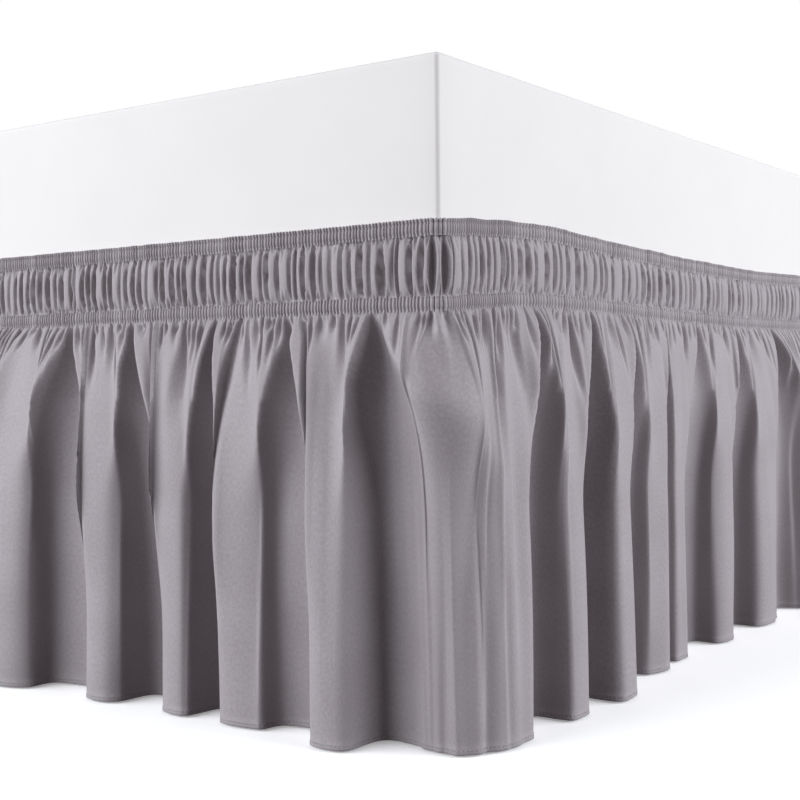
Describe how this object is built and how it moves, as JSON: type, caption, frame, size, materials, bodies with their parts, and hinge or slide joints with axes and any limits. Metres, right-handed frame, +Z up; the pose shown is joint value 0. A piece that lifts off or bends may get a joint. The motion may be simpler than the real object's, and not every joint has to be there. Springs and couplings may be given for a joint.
{
  "type": "gathered bed skirt on a single bed",
  "caption": "Gathered cloth bed skirt with an elastic shirred heading, held round a plain mattress on a low timber bed base.",
  "frame": {"origin": "on the floor under the middle of the bed", "axes": "+Z up, +Y along the bed from the foot end to the head end, +X across the bed to the right of someone looking from the foot end to the head end"},
  "size_m": [1.1198, 2.0369, 0.6],
  "materials": {
    "skirt_cloth": "brushed microfibre, soft sheen",
    "mattress_cover": "smooth white woven cover",
    "bed_timber": "planed pine, clear matt"
  },
  "bodies": {
    "root": {"skirt": "skirt_cloth", "mattress": "mattress_cover", "deck": "bed_timber", "rail_foot": "bed_timber", "rail_middle": "bed_timber", "rail_head": "bed_timber", "leg_foot_left": "bed_timber", "leg_foot_right": "bed_timber", "leg_middle_left": "bed_timber", "leg_middle_right": "bed_timber", "leg_head_left": "bed_timber", "leg_head_right": "bed_timber"}
  },
  "joints": []
}
